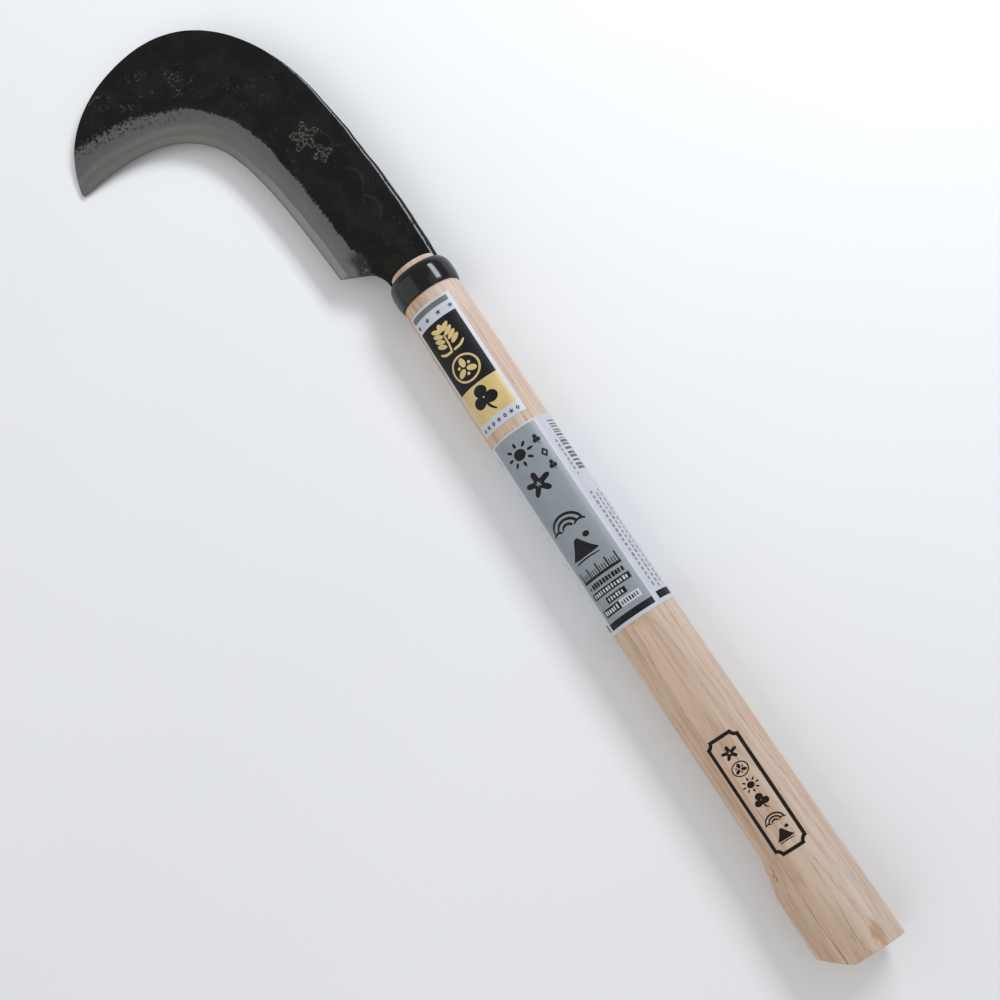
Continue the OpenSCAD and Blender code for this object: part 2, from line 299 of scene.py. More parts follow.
def oak():
    """Pale plain-sawn wood: growth rings round a pith under the handle, thin veins and pores."""
    m = Look("white_oak")
    fleck = to_row([FLECK_AT])[0]
    object_co = m.node("TexCoord", 3)
    axis_y = ORIGIN[1] / 1000
    side = m.step(m.axis(object_co, 1), axis_y - 0.009, axis_y + 0.006)
    butt = m.step(m.axis(object_co, 0), -0.20, -0.12, 1, 0)
    broad = m.grain((0.012, 0.16, 0.16), 0.5, detail=3, rough=0.55, warp=0.4)
    tint = m.grain((0.022, 0.10, 0.10), 0.2, (7, 3, 2))
    fibre = m.grain((0.07, 3.4, 3.4))
    pores = m.grain((0.10, 2.6, 2.6), 0.1, (9, 4, 1), rough=0.55)
    ray = m.grain((0.16, 0.9, 0.9), -0.2, (5, 2, 7), 3, 0.6)

    # Growth rings: distance from the pith, bent a little
    from_pith = m.node("Mapping", Vector=object_co, Scale=(1000, 1000, 1000),
                       Rotation=(0, PITH_TILT, PITH_TURN),
                       Location=(0, -ORIGIN[1] - PITH_Y, -ORIGIN[2] - PITH_Z))
    radius = m.vector("LENGTH", 1, m.vector("MULTIPLY", 0, from_pith, (0, 1, 1)))
    bend = m.grain((0.010, 0.045, 0.045), 0, (3, 1, 4))
    ripple = m.grain((0.045, 0.22, 0.22), 0, (1, 6, 2), 3, 0.6)
    radius = m.math("MULTIPLY_ADD", bend, 7.0, radius)
    radius = m.math("MULTIPLY_ADD", ripple, 1.0, radius)
    year = m.math("FRACT", m.mul(radius, 1 / YEAR_W))
    late = m.mul(m.step(year, 0.35, 0.93), m.step(year, 0.95, 1.0, 1, 0))
    weak = m.step(tint, 0.35, 0.65, 0.35, 1.0)

    # Veins: thin lines along which a stretched noise passes its middle value
    veins = 0.0
    for scale, offset, width in (((0.0075, 0.33, 0.33), (2, 9, 5), 0.020),
                                 ((0.011, 0.62, 0.62), (8, 1, 3), 0.028)):
        field = m.grain(scale, 0.3, offset)
        veins = m.most(veins, m.step(m.off(field, 0.5), 0.004, width, 1, 0))
    broken = m.grain((0.035, 0.5, 0.5), 0, (4, 4, 9))
    veins = m.mul(veins, m.step(broken, 0.38, 0.62, 0.1, 0.9))

    # Painted shade: the cutting side, which faces away from the key light, gets darker and more
    # tan wood colours than the lit spine side. Its late wood and veins are also drawn a little
    # stronger there.
    pale = m.mix(side, (0.66, 0.535, 0.455), (0.62, 0.465, 0.345))
    tan = m.mix(side, (0.60, 0.455, 0.365), (0.52, 0.375, 0.26))
    wood = m.mix(m.step(broad, 0.38, 0.66), pale, tan)
    wood = m.cover(wood, m.step(tint, 0.52, 0.70), 0.35, (0.66, 0.45, 0.35))
    wood = m.cover(wood, m.step(fibre, 0.42, 0.66), 0.16, (0.42, 0.29, 0.20))
    wood = m.cover(wood, m.mul(late, weak), m.step(side, 0, 1, 0.36, 0.42), (0.42, 0.265, 0.17))
    wood = m.cover(wood, veins, m.step(side, 0, 1, 0.45, 0.62), (0.36, 0.19, 0.11))
    dash = m.mul(m.step(pores, 0.63, 0.67), m.step(late, 0.0, 0.8, 0.15, 0.7))
    wood = m.mix(dash, wood, (0.27, 0.15, 0.09))

    # A few long dark streaks on the cutting side of the butt
    long_field = m.grain((0.010, 0.21, 0.21), 0.1, (6, 3, 8), 1)
    streak = m.step(m.off(long_field, 0.5), 0.003, 0.016, 1, 0)
    streak = m.mul(streak, m.step(broken, 0.40, 0.55, 0.25, 1.0))
    streak = m.mul(streak, m.mul(butt, m.step(side, 0.4, 1, 0, 0.9)))
    wood = m.mix(streak, wood, (0.20, 0.10, 0.055))

    # A darker ray fleck near the butt
    spot = m.node("Mapping", Vector=object_co, Scale=FLECK_SCALE,
                  Location=[-c * k for c, k in zip(fleck, FLECK_SCALE)])
    reach = m.add(m.vector("LENGTH", 1, spot), m.swing(ray, 1.8))
    wood = m.mix(m.step(reach, 0.6, 1.05, 0.72, 0.0), wood, (0.46, 0.26, 0.145))
    height = m.sub(m.mul(fibre, 0.4), m.add(dash, m.mul(veins, 0.5)))
    return m.surface(Base_Color=wood, Roughness=m.step(fibre, 0.3, 0.7, 0.55, 0.70),
                     Normal=m.bump(height, 0.35, 0.0001), Specular_IOR_Level=0.3)


# Two worn flowers punched into the blade: centre, mean radius, swing of the petals, petals, turn
PUNCHED = [((407.6, 7.2), 5.0, 1.7, 5, 0.4), ((396.2, 4.6), 3.2, 0.9, 4, 0.2)]


def punched_flowers(m, wear):
    """Mask of the punched outlines, broken up by the wear noise."""
    mask = 0.0
    for centre, radius, swing, petals, turn in PUNCHED:
        at = to_row([(*centre, 2.0)])[0] * 1000
        local = m.node("Mapping", Vector=m.node("TexCoord", 3), Scale=(1000, 1000, 1000),
                       Location=[-c for c in at])
        x, y = m.axis(local, 0), m.axis(local, 1)
        r = m.math("SQRT", m.add(m.mul(x, x), m.mul(y, y)))
        angle = m.add(m.math("ARCTAN2", y, x), turn)
        wave = m.math("COSINE", m.mul(angle, float(petals)))
        # Nested outlines, the third one with its petals between the others'
        for share, phase in ((1.0, 1.0), (0.78, 0.9), (0.5, -1.0), (0.24, 0.6)):
            want = m.math("MULTIPLY_ADD", wave, swing * share * phase, radius * share)
            mask = m.most(mask, m.step(m.off(r, want), 0.28, 0.66, 1, 0))
        veins = m.mul(m.step(m.math("ABSOLUTE", wave), 0.02, 0.3, 1, 0),
                      m.step(r, radius * 0.9, radius, 1, 0))
        mask = m.most(mask, m.mul(veins, 0.7))
    return m.mul(mask, m.step(wear, 0.44, 0.58))


def forged():
    """Black forge scale, with a ragged border to the bare ground bevel.

    The mesh brings these layers, in millimetres unless said otherwise: ground, the distance past
    the top of the bevel; depth, the distance from the cutting edge; along, the share of the edge's
    length; back, the distance from the spine; rub, where the hammer rims are rubbed, from 0 to 1;
    and the last layer, a painted highlight along the top corner of the chamfered spine, from 0 to
    1.
    """
    m = Look("forged_blade")
    p = m.coords()
    grain = m.noise(p, 1.6, 4, 0.62)
    patches = m.noise(p, 0.09, 4, 0.6, 0.5)
    pits = m.noise(p, 0.75, 3, 0.6)
    along, ground = m.attr("along"), m.attr("ground")
    crown = m.step(along, 0.42, 0.70)
    arcs = m.noise(m.pair(m.mul(m.attr("back"), 0.75), m.mul(along, 0.03)), 1, 3, 0.6, 0.4)
    scale = m.mix(m.step(patches, 0.35, 0.7), (0.0060, 0.0060, 0.0054), (0.0115, 0.011, 0.0095))
    scale = m.cover(scale, m.step(arcs, 0.56, 0.74), 0.25, (0.026, 0.026, 0.023))
    specks = m.mul(m.step(grain, 0.60, 0.70), m.step(patches, 0.44, 0.60))
    scale = m.cover(scale, specks, 0.7, (0.060, 0.058, 0.052))
    dust = m.step(m.noise(p, 0.42, 5, 0.75), 0.64, 0.68)
    scale = m.cover(scale, dust, 0.45, (0.13, 0.13, 0.12))
    # Worn clusters in a belt above the ground face, most towards the crown
    belt = m.mul(m.step(ground, 2.5, 6.0), m.step(ground, 17.0, 24.0, 1, 0))
    cluster = m.mul(m.step(m.noise(p, 0.13, 2, 0.5), 0.54, 0.62),
                    m.step(m.noise(p, 0.9, 3, 0.62), 0.54, 0.62))
    cluster = m.mul(cluster, m.mul(belt, crown))
    scale = m.cover(scale, cluster, 0.7, (0.105, 0.105, 0.098))
    scale = m.cover(scale, m.attr("rub"), m.step(grain, 0.34, 0.62), (0.060, 0.062, 0.058))
    punched = punched_flowers(m, m.noise(p, 1.2, 3, 0.65))
    scale = m.cover(scale, punched, 0.85, (0.115, 0.108, 0.092))

    # Ground steel: a clouded satin, finer scratches along the edge, smut and a dark heel
    wander = m.swing(m.noise(p, 0.085, 2, 0.5), 3.0)
    lines = m.noise(m.pair(m.mul(along, 2.2), m.mul(ground, 0.08)), 1, 3, 0.6)
    depth = m.add(m.attr("depth"), m.swing(m.noise(p, 0.16, 3, 0.5), 7.0))
    steel = m.mix(m.step(depth, 3.0, 12.5), (0.162, 0.158, 0.148), (0.131, 0.131, 0.126))
    cloud = m.add(m.attr("depth"), m.swing(m.noise(p, 0.055, 2, 0.4), 6.0))
    light = m.step(m.off(cloud, 6.8), 0.2, 2.6, 0.5, 0.0)
    steel = m.cover(steel, light, m.step(crown, 0, 1, 0.3, 1.0), (0.215, 0.211, 0.201))
    steel = m.mix(m.step(cloud, 2.6, 5.0, 0.5, 0.0), steel, (0.175, 0.166, 0.152))
    steel = m.cover(steel, m.step(lines, 0.3, 0.75), 0.30, (0.12, 0.119, 0.112))
    smut = m.mul(m.step(m.noise(p, 0.75, 4, 0.7), 0.535, 0.575),
                 m.step(m.add(ground, wander), -6.8, -2.6))
    steel = m.cover(steel, smut, m.step(along, 0.55, 0.82, 0.12, 0.95), (0.028, 0.028, 0.025))
    heel = m.mul(m.step(along, 0.005, 0.05, 1, 0), m.step(ground, -7.5, -4.0))
    heel = m.mul(heel, m.step(m.noise(p, 0.3, 4, 0.7), 0.28, 0.48))
    steel = m.cover(steel, heel, 0.9, (0.022, 0.022, 0.020))

    ragged = m.swing(m.noise(p, 0.75, 7, 0.85), 5.0)
    tip = m.step(along, 0.60, 0.85, 1.2, 4.4)
    black = m.step(m.add(m.add(ground, wander), m.mul(ragged, tip)), -0.3, 0.3)
    # Painted highlight: a bright, bluish steel colour laid along the top corner of the spine's
    # chamfer, where the key light glints.
    bare = m.mul(m.attr("bare"), m.step(m.noise(p, 0.5, 4, 0.7), 0.30, 0.50, 0.55, 1))
    bare = m.step(bare, 0.50, 0.85)
    colour = m.cover(m.mix(black, steel, scale), bare, 0.85, (0.36, 0.37, 0.40))
    rough = m.add(m.step(black, 0, 1, 0.42, 0.47), m.mul(patches, 0.14))
    height = m.add(m.mul(black, 0.5), m.mul(m.add(grain, pits), m.step(black, 0, 1, 0.05, 0.42)))
    height = m.sub(height, m.mul(punched, 1.2))
    return m.surface(Base_Color=colour, Roughness=rough,
                     Metallic=m.step(black, 0, 1, 0.72, 0.15),
                     Normal=m.bump(height, 0.5, 0.00013), Specular_IOR_Level=0.14)


def edge_steel():
    """Bright ground steel with fine lines along the edge, darker towards the crown."""
    m = Look("ground_edge")
    along = m.attr("along")
    lines = m.noise(m.pair(m.mul(along, 2.6), m.mul(m.attr("ground"), 0.06)), 1, 3, 0.6)
    soft = m.noise(m.coords(), 0.2, 3, 0.5)
    colour = m.mix(m.step(soft, 0.3, 0.7), (0.225, 0.219, 0.207), (0.255, 0.249, 0.236))
    crown = m.step(along, 0.25, 0.55, 0.0, 0.85)
    colour = m.mix(crown, colour, (0.165, 0.155, 0.142))
    colour = m.cover(colour, m.step(lines, 0.35, 0.75), 0.3, (0.16, 0.15, 0.14))
    colour = m.mix(m.step(m.attr("depth"), 0.3, 1.3, 0.5, 0.0), colour, (0.09, 0.08, 0.07))
    return m.surface(Base_Color=colour, Metallic=0.8, Roughness=m.step(soft, 0.3, 0.7, 0.34, 0.46),
                     Normal=m.bump(lines, 0.12, 0.00006))


def gloss_black():
    """Gloss paint with a faint orange peel and a little dust."""
    m = Look("gloss_black")
    p = m.coords()
    wave = m.noise(p, 0.14, 2, 0.5)
    peel = m.noise(p, 1.3, 2, 0.5)
    dust = m.step(m.noise(p, 1.1, 5, 0.8), 0.66, 0.72)
    colour = m.cover((0.002, 0.002, 0.0025), dust, 0.35, (0.03, 0.03, 0.03))
    height = m.add(wave, m.mul(peel, 0.06))
    return m.surface(Base_Color=colour, Roughness=m.step(wave, 0.3, 0.7, 0.10, 0.15),
                     Normal=m.bump(height, 0.02, 0.0002), Specular_IOR_Level=0.44)


def printed(name, colour, second, rough=0.36, metal=0.0, mottle=0.6, grain=0.25, gloss=0.4):
    """Coated paper or ink: fine fibre, slight mottling and a soft sheen."""
    m = Look(name)
    p = m.coords()
    cloud = m.noise(p, 0.22, 3, 0.55)
    fibre = m.noise(p, 2.4, 3, 0.6)
    base = m.cover(colour, m.step(cloud, 0.35, 0.65), mottle, second)
    height = m.add(m.mul(fibre, 0.35), cloud)
    return m.surface(Base_Color=base, Metallic=metal, Normal=m.bump(height, grain, 0.00006),
                     Roughness=m.step(fibre, 0.3, 0.7, rough - 0.06, rough + 0.08),
                     Specular_IOR_Level=gloss)


def bright_wire():
    m = Look("pin_wire")
    drawn = m.grain((2.0, 2.0, 0.05), detail=3, rough=0.6)
    colour = m.mix(m.step(drawn, 0.3, 0.7), (0.42, 0.42, 0.41), (0.56, 0.56, 0.55))
    return m.surface(Base_Color=colour, Metallic=0.9, Roughness=m.step(drawn, 0.3, 0.7, 0.3, 0.45),
                     Normal=m.bump(drawn, 0.1, 0.00003))


OAK = oak()
FORGED = forged()
EDGE = edge_steel()
BLACK = gloss_black()
WHITE = printed("label_white", (0.540, 0.550, 0.598), (0.510, 0.520, 0.568))
GREY = printed("label_grey", (0.255, 0.285, 0.305), (0.235, 0.265, 0.285), rough=0.34)
STRIP = printed("label_strip", (0.13, 0.14, 0.14), (0.11, 0.12, 0.12))
GOLD = printed("label_gold", (0.65, 0.495, 0.215), (0.59, 0.445, 0.19), rough=0.34, metal=0.10,
               mottle=1.0)
INK = printed("label_ink", (0.010, 0.010, 0.011), (0.016, 0.016, 0.017), rough=0.38, gloss=0.15)
FINE = printed("label_fine_print", (0.22, 0.22, 0.24), (0.27, 0.27, 0.29))
BARS = printed("label_bars", (0.10, 0.10, 0.11), (0.13, 0.13, 0.14))
STAMP = printed("stamped_ink", (0.010, 0.009, 0.008), (0.018, 0.016, 0.014), rough=0.6, mottle=0.8,
                grain=0.4, gloss=0.1)
WIRE = bright_wire()


# ---- blade ----
def direction(a):
    return np.array([math.cos(math.radians(a)), math.sin(math.radians(a))])


def chain(knots, n=240):
    """Cubic pieces through knots of [point, heading, reach behind, reach ahead]."""
    t = np.linspace(0, 1, n, endpoint=False)[:, None]
    out = []
    for k, m in zip(knots[:-1], knots[1:]):
        a, d = np.array(k[0], float), np.array(m[0], float)
        b, c = a + k[3] * direction(k[1]), d - m[2] * direction(m[1])
        s = 1 - t
        out.append(a * s**3 + 3 * b * t * s**2 + 3 * c * t * t * s + d * t**3)
    out.append(np.array([knots[-1][0]], float))
    return np.vstack(out)


def lengths(pts):
    """Running length along a polyline, point by point."""
    return np.concatenate([[0], np.cumsum(np.linalg.norm(np.diff(pts, axis=0), axis=1))])


def at_share(pts, run, f):
    """Points at the shares f of a polyline's length."""
    s = np.asarray(f) * run[-1]
    return np.stack([np.interp(s, run, pts[:, 0]), np.interp(s, run, pts[:, 1])], -1)


HEEL, POINT = (345.5, 28.8), (451, 107)
edge_curve = chain([[HEEL, 3, 0, 30], [(429.5, 42.5), 32, 19, 27], [POINT, 94, 22, 0]])
spine_curve = chain([[(RING_TOP, -NECK_HALF_W), -4, 0, 31], [(420, -8), 7, 29, 34],
                     [(492.4, 55), 92, 39, 25], [POINT, 168, 29, 0]])
front_curve = chain([[(RING_TOP, NECK_HALF_W), 4, 0, 3.5], [(335.6, 13.8), 28, 3.6, 2.2],
                     [(340, 17.6), 63.8, 2.4, 0]])
front_curve = np.vstack([front_curve, [HEEL]])
edge_run, spine_run, front_run = lengths(edge_curve), lengths(spine_curve), lengths(front_curve)
# Width of the ground bevel, square to the edge, at shares of the edge's length
BEVEL_SHARES = [0, 0.04, 0.1, 0.2, 0.4, 0.6, 0.75, 0.88, 1]
BEVEL_WIDTHS = [14.5, 12.3, 11.0, 11.4, 12.6, 14.0, 15.8, 18.5, 19.5]
EDGE_HALF_T = 0.05
BAND_W = 3.8                 # width of the hard-steel band that shows along the edge
TOP_COLS, EDGE_COLS = 66, 10
body_f = np.concatenate([np.linspace(0, 0.9, 380), np.linspace(0.9, 0.993, 60)[1:]])
front_f = np.concatenate([np.linspace(0, 0.62, 22), np.linspace(0.62, 1, 20)[1:]])


def to_edge(xy):
    """(distance from the cutting edge, share of the edge's length there) of each plan point."""
    dist, share = np.empty(len(xy)), np.empty(len(xy))
    batch = 4000
    for k in range(0, len(xy), batch):
        d = np.linalg.norm(xy[k:k + batch, None] - edge_curve[None], axis=2)
        i = d.argmin(1)
        dist[k:k + batch] = d[np.arange(len(i)), i]
        share[k:k + batch] = edge_run[i] / edge_run[-1]
    return dist, share


def blade_rows():
    """Front point, back point and share along the blade, row by row from the ring to the point."""
    front = at_share(front_curve, front_run, front_f)
    edge = at_share(edge_curve, edge_run, body_f)
    spine_f = np.concatenate([HEEL_SHARE * front_f, HEEL_SHARE + (1 - HEEL_SHARE) * body_f])
    # The forged back wanders a little, most near the neck
    run = spine_f * spine_run[-1]
    wander = waver(run / 13, 4.2) + 0.4 * waver(run / 5, 1.7)
    fade = smooth(run / 12) * (0.25 + 0.75 * (1 - smooth((run - 60) / 90)))
    fade *= 1 - smooth((run - 225) / 40)
    F, B = np.vstack([front, edge]), at_share(spine_curve, spine_run, spine_f)
    out = (B - F) / np.linalg.norm(B - F, axis=1)[:, None]
    B = B + out * (0.42 * wander * fade)[:, None]
    return F, B, np.concatenate([np.zeros(len(front)), body_f])


def half_thickness(dist, share, f):
    width = np.interp(share, BEVEL_SHARES, BEVEL_WIDTHS)
    full = (NECK_T + (CROWN_T - NECK_T) * f) / 2
    ground = EDGE_HALF_T + (full - EDGE_HALF_T) * dist / width
    blend = full * 0.04       # the two planes meet in a soft line
    return 0.5 * (full + ground - np.sqrt((full - ground) ** 2 + blend**2))


# Crescent marks of the hammer's rim: centre, radius, heading of the rim, depth
HAMMER_RIMS = [((362.6, 4.6), 8.2, -90, 0.12), ((377.9, 3.6), 7.6, -88, 0.12),
               ((399.5, 5.0), 7.0, -95, 0.09)]
RIM_W = 0.5


def forge_marks(p):
    """Height of the hammer marks on the flat of the blade, and how worn they are."""
    xyz = np.column_stack([p, np.zeros(len(p))])
    h = 0.07 * bumps(xyz, 17, 3.1) + 0.035 * bumps(xyz, 7, 8.4)
    rub = np.zeros(len(p))
    for centre, r, heading, depth in HAMMER_RIMS:
        off = p - centre
        d = np.linalg.norm(off, axis=1) + 1e-6
        facing = smooth((off @ direction(heading) / d - 0.35) / 0.5)
        rim = np.exp(-((d - r) / RIM_W) ** 2) * facing
        h -= depth * rim + 0.4 * depth * np.exp(-(d / r) ** 2)
        rub = np.maximum(rub, 0.45 * rim * depth / 0.12)
    return h, rub


LAYERS = ("ground", "depth", "along", "back", "rub", "bare")


def blade_side(F, B, f, s, sign):
    """Surface points at distances s from the front along each row, and their first five layers."""
    w = np.linalg.norm(B - F, axis=1)
    d = (B - F) / w[:, None]
    xy = (F[:, None] + d[:, None] * s[..., None]).reshape(-1, 2)
    dist, share = to_edge(xy)
    cols = s.shape[1]
    f = np.repeat(f, cols)
    ground = dist - np.interp(share, BEVEL_SHARES, BEVEL_WIDTHS)
    marks, rub = forge_marks(xy)
    h = half_thickness(dist, share, f) + marks * smooth((ground + 1.5) / 4)
    back = (w[:, None] - s).reshape(-1)
    xyz = np.column_stack([xy, sign * np.maximum(h, EDGE_HALF_T)]).reshape(-1, cols, 3)
    layers = np.stack([ground, dist, np.where(f > 0, share, 0), back, rub], 1)
    return xyz, layers.reshape(-1, cols, 5)


def blade_mesh(name, rings, layers, material):
    attrs = {key: layers[..., i].ravel() for i, key in enumerate(LAYERS[:layers.shape[2]])}
    return build(name, rings.reshape(-1, 3), loft_faces(*rings.shape[:2]), material, 32, attrs)


def make_blade():
    F, B, f = blade_rows()
    w = np.linalg.norm(B - F, axis=1)
    chamfer = np.maximum(MIN_CHAMFER, SPINE_CHAMFER * (1 - f / CHAMFER_FADES))
    chamfer = np.minimum(chamfer, 0.1 * w)
    head, tail = np.split(np.arange(len(f)), [len(front_f)])
    # Where the hard layer comes out of the ground face
    band = np.minimum(BAND_W + 0.5 * waver(f * 14, 2.2), 0.22 * w)
    band[head] = 0
    u = np.linspace(0, 1, TOP_COLS)

    def ring(pick):
        """Closed body rings of the picked rows: up the back, over the top, home underneath."""
        Fp, Bp, fp, wp, cp = F[pick], B[pick], f[pick], w[pick], chamfer[pick]
        s = (wp - cp)[:, None] + (band[pick] - wp + cp)[:, None] * u[None]
        top, top_layers = blade_side(Fp, Bp, fp, s, 1)
        low, low_layers = blade_side(Fp, Bp, fp, s[:, ::-1], -1)
        d = (Bp - Fp) / wp[:, None]
        # The rounded chamfer: shares of its width, and drops as shares of that width
        steps = []
        for out_share, drop in ((0.55, 0.34 * 0.9), (0.93, 0.72 * 0.9), (1, 1.05)):
            xy = Fp + d * (wp - cp + out_share * cp)[:, None]
            steps.append(np.column_stack([xy, top[:, 0, 2] - drop * cp]))
        upper = np.stack(steps[::-1], 1)
        lower = np.stack(steps, 1) * [1, 1, -1]
        pts = np.concatenate([upper, top, low, lower], 1)
        layers = np.concatenate([np.repeat(top_layers[:, :1], 3, 1), top_layers, low_layers,
                                 np.repeat(low_layers[:, -1:], 3, 1)], 1)
        # The last layer is the painted highlight of the spine's chamfer: strongest on its top
        # corner, weaker beside it, and fading out along the blade away from the neck.
        bare = np.zeros(pts.shape[:2])
        chamfer_highlight = (1 - smooth((fp - 0.32) / 0.28))[:, None] * [0, 0, 0.30, 1.0, 0.15]
        bare[:, :5] = chamfer_highlight
        bare[:, -5:] = chamfer_highlight[:, ::-1]
        return pts, np.concatenate([layers, bare[..., None]], 2)

    neck, neck_layers = ring(head)
    blade, blade_layers = ring(tail)
    # The shouldered root inside the ring comes first
    roots = []
    for x in (RING_LOW + 1, RING_TOP - 0.02):
        root = neck[:1].copy()
        root[..., 0] = x
        root[..., 1:] *= ((HEAD_HALF_W - 0.3) / NECK_HALF_W, (NECK_T - 0.2) / NECK_T)
        roots.append(root)
    rings = np.concatenate(roots + [neck, blade])
    layers = np.concatenate([neck_layers[:1], neck_layers[:1], neck_layers, blade_layers])
    body = blade_mesh("blade_forging", rings, layers, FORGED)

    # The hard steel: its sharp edge keeps a hair's breadth between its two faces
    s = band[tail][:, None] * np.linspace(1, 0, EDGE_COLS)[None]
    top, top_layers = blade_side(F[tail], B[tail], f[tail], s, 1)
    low, low_layers = blade_side(F[tail], B[tail], f[tail], s[:, ::-1], -1)
    steel = blade_mesh("cutting_edge", np.concatenate([top, low], 1),
                       np.concatenate([top_layers, low_layers], 1), EDGE)
    return body, steel


# ---- handle ----
def make_handle():
    turns = 144
    shave_h, mean_r = 0.06, 13
    angles = np.arange(turns) * 360 / turns
    t = np.radians(angles)
    xs = np.unique(np.concatenate([np.arange(-6, 30, 3), np.arange(30, 57, 1.0),
                                   np.arange(57, 312, 3.5), [312.5, 313.6]]))
    rings = [skin(x, angles) for x in xs]
    # The wood tucks in under the ring, and its bare end has a rounded rim
    for x, tuck in ((314.2, 0.15), (314.6, 0.35), (RING_LOW, 0.6)):
        rings.append(skin(x, angles, -tuck))
    for x, shrink in ((RING_LOW + 0.01, 0), (HANDLE_LEN - 0.6, 0), (HANDLE_LEN - 0.25, 0.12),
                      (HANDLE_LEN - 0.06, 0.32), (HANDLE_LEN, 0.6)):
        rings.append(oval(x, HEAD_HALF_W - shrink, HEAD_HALF_T - shrink, t))
    pts = np.concatenate(rings)
    shave = shave_h * bumps(pts * [0.25, 1, 1], 9, 2.0) * smooth((RING_LOW - pts[:, 0]) / 8)
    pts[:, 1:] *= (1 + shave / mean_r)[:, None]
    bm = bmesh.new()
    verts = [bm.verts.new(p) for p in pts]
    for face in loft_faces(len(rings), turns):
        bm.faces.new([verts[i] for i in face])
    # The saw cut across the butt, then the slanted cut of its corner
    tilt, cut = math.radians(BUTT_TILT), math.radians(CORNER_ANGLE)
    for co, no in (((0, 0, 0), (math.cos(tilt), 0, -math.sin(tilt))),
                   ((0, CORNER_Y, 0), (math.cos(cut), -math.sin(cut), 0))):
        geom = bm.verts[:] + bm.edges[:] + bm.faces[:]
        bmesh.ops.bisect_plane(bm, geom=geom, dist=1e-4, plane_co=co, plane_no=no,
                               clear_inner=True)
        bmesh.ops.holes_fill(bm, edges=[e for e in bm.edges if e.is_boundary], sides=0)
    bmesh.ops.remove_doubles(bm, verts=bm.verts, dist=1e-3)
    bmesh.ops.recalc_face_normals(bm, faces=bm.faces)
    rim = [e for e in bm.edges if len(e.link_faces) == 2 and e.calc_face_angle(0) > 0.5
           and max(v.co.x for v in e.verts) < 20]
    bmesh.ops.bevel(bm, geom=rim, offset=0.4, segments=2, profile=0.6, affect="EDGES")
    points = [tuple(v.co) for v in bm.verts]
    bm.verts.index_update()
    faces = [[v.index for v in f.verts] for f in bm.faces]
    bm.free()
    return build("handle_oak", points, faces, OAK, 12)


# ---- ring ----
def make_ring():
    turns = 160
    t = np.arange(turns) * 2 * math.pi / turns
    low = RING_LOW + GAP
    # A barrel: drops from its widest at shares of its length, then small rounded rims
    widest, low_drop, top_drop = 0.4, 0.65, 1.8
    fine = np.linspace(0, 1, 44)
    drop = np.where(fine < widest, low_drop * (np.abs(widest - fine) / widest) ** 2.2,
                    top_drop * (np.abs(fine - widest) / (1 - widest)) ** 3.6)
    barrel = [(low + f * (RING_TOP - low), d) for f, d in zip(fine, drop)][1:-1]
    profile = [(low, low_drop + 0.39), (low + 0.02, low_drop + 0.14), (low + 0.12, low_drop)]
    profile += barrel
    profile += [(RING_TOP - 0.15, top_drop - 0.06), (RING_TOP - 0.02, top_drop + 0.10),
                (RING_TOP, top_drop + 0.30)]
    rings = [oval(x, RING_HALF_W - d, HALF_BUTT_T - d, t) for x, d in profile]
    for x, grow in ((RING_TOP, 0.2), (RING_TOP - 0.3, GAP), (low + 0.3, GAP), (low, 0.2)):
        rings.append(oval(x, HEAD_HALF_W + grow, HEAD_HALF_T + grow, t))
    pts = np.concatenate(rings)
    outer = len(profile) * turns
    dents = 0.003 * bumps(pts[:outer], 6.0, 6.0) * smooth((RING_TOP - pts[:outer, 0]) / 3)
    pts[:outer, 1:] *= (1 + dents / 14)[:, None]
    return build("black_ring", pts, tube_faces(len(rings), turns), BLACK, 34)


# ---- labels and print ----
# A layer is the lift of its underside and of its top above the wood
FILM = 0.028                                   # thickness of a printed layer
SINK = 0.01                                    # how far a layer starts inside the one below
PAPER = (0.008, PAPER_T)
FIRST = (PAPER_T - 0.03, PAPER_T + FILM)
SECOND = (FIRST[1] - SINK, FIRST[1] + FILM)
THIRD = (SECOND[1] - SINK, SECOND[1] + FILM)
STAMPED = (0.02, 0.07)
MM_TO_DEG = 57.3 / 13.1      # one millimetre round the handle, in degrees


def patch(x0, x1, a0, a1, layer):
    """Closed curved plate on the handle: stations x0..x1, angles a0..a1."""
    low, high = layer
    nx = max(2, int(abs(x1 - x0) / 2.5) + 2)
    na = max(2, int(abs(a1 - a0) / 3) + 2)
    an = np.linspace(a0, a1, na)
    pts = np.concatenate([np.vstack([skin(x, an, high), skin(x, an[::-1], low)])
                          for x in np.linspace(x0, x1, nx)])
    cols = 2 * na
    faces = loft_faces(nx, cols, caps=False)
    for base in (0, (nx - 1) * cols):
        for j in range(na - 1):
            quad = (base + j, base + j + 1, base + cols - 2 - j, base + cols - 1 - j)
            faces.append(quad if base else quad[::-1])
    return pts, faces


